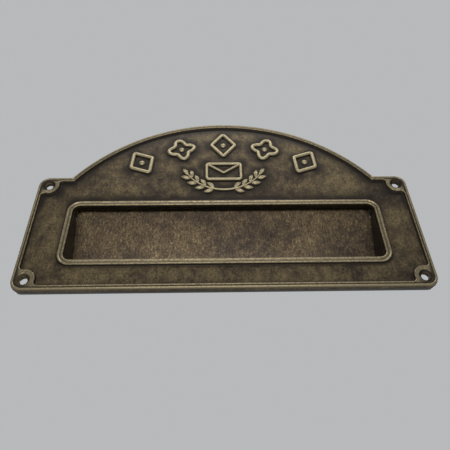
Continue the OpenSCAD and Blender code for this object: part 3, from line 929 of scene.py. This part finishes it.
def prismMesh(rings, caps):
    # two equal rings of points with quads between them; the caps close the first and, turned over, the second
    n = len(rings[0])
    i = np.arange(n)
    sides = np.stack([i, (i + 1) % n, (i + 1) % n + n, i + n], axis=1).tolist()
    mesh = bpy.data.meshes.new("prism")
    mesh.from_pydata((np.concatenate(rings) * mm).tolist(), [],
                     sides + caps + [[k + n for k in reversed(cap)] for cap in caps])
    return mesh


flapShape = {
    "tilt": 16.5,  # degrees from the vertical
    "thickness": 1.5,
    "knuckle": 3.05,  # outer radius of the curl round the rod
    "curlEnd": -112.0,  # degrees round the rod at which the curl ends
    "shoulder": 7.5,  # from the rod down to where the flap widens
    "narrow": 0.8,  # gap to the slot's sides above the shoulder
    "corner": 3.0,
    "hem": 3.0, "hemGap": 0.06,
    "edge": 0.3, "wave": 0.12,
}


def flapPoint(y, z):
    # from the flap's own axes, which hang tilted from the rod, to depth and height
    a = radians(flapShape["tilt"])
    y, z = np.asarray(y, float), np.asarray(z, float)
    return np.stack([rodY + y * cos(a) - z * sin(a),
                     rodZ + y * sin(a) + z * cos(a)], axis=-1)


def makeFlap():
    # a sheet whose top is an arc round the rod and whose foot is a half circle folded back into a hem; it
    # widens at the shoulder by a smooth step, and its lower corners are quarter circles
    f = flapShape
    t = f["thickness"]
    midY, curlR = -f["knuckle"] + t / 2, f["knuckle"] - t / 2
    wide = flapHigh.x / mm
    tilt = radians(f["tilt"])
    length = (rodZ - flapLow.z / mm + f["knuckle"] * -sin(tilt)) / cos(tilt)
    curl = np.radians(np.linspace(f["curlEnd"], 180, 46))
    foldR = t / 2 + f["hemGap"] / 2
    foldZ = -length + t / 2 + foldR
    straight = np.linspace(0, foldZ, 44)[1:]
    fold = np.radians(np.linspace(180, 360, 12))[1:]
    own = np.concatenate([
        np.stack([curlR * np.cos(curl), curlR * np.sin(curl)], axis=1),
        np.stack([np.full(len(straight), midY), straight], axis=1),
        np.stack([midY + foldR + foldR * np.cos(fold), foldZ + foldR * np.sin(fold)], axis=1),
        [[midY + 2 * foldR, foldZ + f["hem"] * 0.5], [midY + 2 * foldR, foldZ + f["hem"] - foldR]]])
    top = slotX - f["narrow"]
    z = own[:, 1]
    ledge = np.clip((-z - f["shoulder"]) / 0.8, 0, 1)
    ledge[:len(curl)] = 0
    reach = top + (wide - top) * ledge * ledge * (3 - 2 * ledge)
    low = np.clip((-z - (length - f["corner"])) / f["corner"], 0, 1)
    reach = reach - np.where(ledge > 0, f["corner"] * (1 - np.sqrt(1 - low ** 2)), 0)
    return sheetPiece("letterFlap", flapPoint(own[:, 0], own[:, 1]), t, reach, flapBrass,
                      columns=48, bevel=f["edge"], wave=f["wave"])


chute = {
    "lip": 5.0,  # from the slot's lower edge to the foot of the sill's lip
    "foot": 9.5, "earR": 5.0,
    "seat": 4.35,  # from the rod's plane to the edge on which the flap rests
    "web": 7.2,  # from the rod down to the notch in front of the ear
    "cheekInset": 2.0, "footTopInset": 3.0,
}


def makeSill():
    # a foot against the posts, the chute's floor, and a lip that slopes with the flap
    t, low = sheet["thickness"], sillLow.z / mm
    tilt = radians(flapShape["tilt"])
    slope = np.array([sin(tilt), -cos(tilt)])
    tipY = sillHigh.y / mm - t / 2 * cos(tilt)
    tip = np.array([tipY, slotBottom - chute["lip"] + t / 2 * sin(tilt)])
    floorZ = slotBottom - t / 2
    knee = tip - slope * (tip[1] - floorZ) / slope[1]
    path = roundedPath([(t / 2, low), (t / 2, floorZ), knee, tip], sheet["bend"], 7, False)
    return sheetPiece("chuteSill", path, t, slotX - 0.1, chuteBrass)


def makeHood():
    # a foot against the posts, a roof over the hinge and a lip that hangs down
    t = sheet["thickness"]
    back, top = hoodHigh.y / mm - t / 2, hoodHigh.z / mm
    roofZ = top - chute["foot"] - t / 2
    corners = [(t / 2, top), (t / 2, roofZ), (back, roofZ), (back, hoodLow.z / mm)]
    path = roundedPath(corners, sheet["bend"], 7, False)
    return sheetPiece("hingeHood", path, t, hoodHigh.x / mm, chuteBrass)


def makeCheek(name, sign):
    # a flat wall whose rear edge slopes with the flap, an ear round the rod, and a foot bent outwards
    t = sheet["thickness"]
    seat = flapPoint([-chute["seat"]] * 2, [-200.0, 0.0])
    slope = (seat[1] - seat[0]) / np.linalg.norm(seat[1] - seat[0])
    bottom = slotBottom - t
    lowEnd = seat[0] + slope * (bottom - seat[0, 1]) / slope[1]
    webFront, webBack = flapPoint([-chute["seat"], 0.0], [-chute["web"]] * 2)
    ear = arc(rodY, rodZ, chute["earR"], -72, 90, 21)
    top = rodZ + chute["earR"]
    outline = np.concatenate([[(0, bottom), lowEnd, webFront, webBack], ear, [(rodY, top), (0, top)]])
    n = len(outline)
    walls = [np.column_stack([np.full(n, x), outline]) for x in (slotX, slotX + t)]
    wall = prismMesh(walls, [list(range(n))[::-1]])
    corners = [(cheekHigh.x / mm, t / 2), (slotX + t / 2, t / 2), (slotX + t / 2, 4.5)]
    bend = roundedPath(corners, sheet["bend"], 7, False)
    offset = sideways(bend, False) * t / 2 * 0.999
    ring = np.concatenate([bend + offset, (bend - offset)[::-1]])
    n = len(ring)
    ends = (slotBottom + chute["cheekInset"], slotTop - chute["footTopInset"])
    strips = [[k, k + 1, n - 2 - k, n - 1 - k] for k in range(n // 2 - 1)]
    foot = prismMesh([np.column_stack([ring, np.full(n, z)]) for z in ends], strips)
    bm = bmesh.new()
    for part in (wall, foot):
        bm.from_mesh(part)
        bpy.data.meshes.remove(part)
    bmesh.ops.scale(bm, vec=(sign, 1, 1), verts=bm.verts)
    mesh = bpy.data.meshes.new(name)
    bm.to_mesh(mesh)
    bm.free()
    tidyMesh(mesh, 40)
    piece = addObject(name, mesh, chuteBrass)
    addBevel(piece, sheet["bevel"])
    return piece


letterFlap = makeFlap()
chuteSill = makeSill()
hingeHood = makeHood()
leftCheek = makeCheek("leftCheekPlate", -1)
rightCheek = makeCheek("rightCheekPlate", 1)
print("made the flap and the chute")


# what each piece rides on, stands for and takes its finish from

for piece in [plateBody, castPosts, *ornaments]:
    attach(piece, "plate")
chutePieces = {"left_cheek": leftCheek, "right_cheek": rightCheek, "sill": chuteSill, "hood": hingeHood}
for node, piece in chutePieces.items():
    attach(piece, "plate")
    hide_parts(node)
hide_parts("front_plate")
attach(letterFlap, "flap")
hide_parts("flap")

finishNodes = {
    "rod": ["hinge_rod"],
    "steel": ["left_rod_clip", "right_rod_clip"],
    "rubber": ["left_buffer", "right_buffer"],
    "screw": ["cheek_screws", "sill_screws", "hood_screws"],
    "washer": ["left_rod_washer", "right_rod_washer",
               "cheek_screw_washers", "sill_screw_washers", "hood_screw_washers"],
}
for finish, nodes in finishNodes.items():
    for node in nodes:
        slots = frame["nodes"][node].data.materials
        slots.clear()
        slots.append(hardware[finish])
print("everything rides on its body")


# camera, light and floor

cameraSet = {
    "lens": 34.96, "sensor": 36.0,
    "pitch": 35.725, "yaw": -1.329, "roll": 0.460,  # degrees
    "plateFoot": (1.157, -42.05, 289.83),  # the plate's foot in the camera's own axes, in mm
}


def aimCamera():
    # the camera's axes are the plate's turned by pitch, then yaw, then roll
    p, y, r = (radians(cameraSet[k]) for k in ("pitch", "yaw", "roll"))
    turnX = np.array([[1, 0, 0], [0, cos(p), -sin(p)], [0, sin(p), cos(p)]])
    turnY = np.array([[cos(y), 0, sin(y)], [0, 1, 0], [-sin(y), 0, cos(y)]])
    turnZ = np.array([[cos(r), -sin(r), 0], [sin(r), cos(r), 0], [0, 0, 1]])
    turn = turnZ @ turnY @ turnX
    foot = np.array([0, plateBottom, rimFront])
    spot = foot - turn.T @ np.array(cameraSet["plateFoot"])
    swap = [0, 2, 1]  # across, up and in become X, Z and Y
    right, up, ahead = (turn[k][swap] for k in range(3))
    camera = linkObject("camera", bpy.data.cameras.new("camera"))
    camera.data.lens, camera.data.sensor_width = cameraSet["lens"], cameraSet["sensor"]
    camera.data.clip_start, camera.data.clip_end = 0.01, 20
    axes = np.column_stack([right, up, -ahead, spot[swap] * mm])
    camera.matrix_world = Matrix([*axes.tolist(), (0, 0, 0, 1)])
    bpy.context.scene.camera = camera


def areaLight(name, spot, aim, width, height, power):
    # a flat lamp, sized in metres, that faces what it aims at
    lamp = bpy.data.lights.new(name, "AREA")
    lamp.shape, lamp.size, lamp.size_y, lamp.energy = "RECTANGLE", width, height, power
    thing = linkObject(name, lamp)
    thing.location = spot
    thing.rotation_mode = "QUATERNION"
    thing.rotation_quaternion = (Vector(aim) - Vector(spot)).to_track_quat("-Z", "Y")


room = {
    "floor": -0.42, "reach": 3.0,  # the floor's height and how far it runs, in metres
    "paint": ((0.72, 0.73, 0.74, 1), (0.78, 0.79, 0.80, 1)), "paintRough": 0.8,
    "sky": (0.82, 0.84, 0.86, 1), "skyPower": 0.58,
}


def makeStage():
    # one painted quad below the plate, and an even sky
    r, drop = room["reach"], room["floor"]
    mesh = bpy.data.meshes.new("floor")
    mesh.from_pydata([(-r, -r, drop), (r, -r, drop), (r, r, drop), (-r, r, drop)], [], [(0, 1, 2, 3)])
    material, w, surface, vector = startMaterial("floorPaint")
    w.put(w.mix(w.noise(vector, 3.0), *room["paint"]), surface.inputs["Base Color"])
    surface.inputs["Roughness"].default_value = room["paintRough"]
    addObject("floor", mesh, material)
    world = bpy.data.worlds.new("studio")
    bpy.context.scene.world = world
    world.use_nodes = True
    sky = world.node_tree.nodes["Background"]
    sky.inputs[0].default_value = room["sky"]
    sky.inputs[1].default_value = room["skyPower"]


aimCamera()
makeStage()
areaLight("keyLight", (0.04, -0.70, 1.05), (0, 0, 0.02), 1.1, 0.30, 5.4)
areaLight("frontLight", (-0.02, -1.10, -0.18), (0, 0, 0), 0.75, 0.25, 4.4)
for side in (-1, 1):
    areaLight("rearLight", (side * 0.75, 1.25, 0.5), (0, 0, 0), 0.6, 0.6, 7.5)
bpy.context.scene.view_settings.view_transform = "Standard"
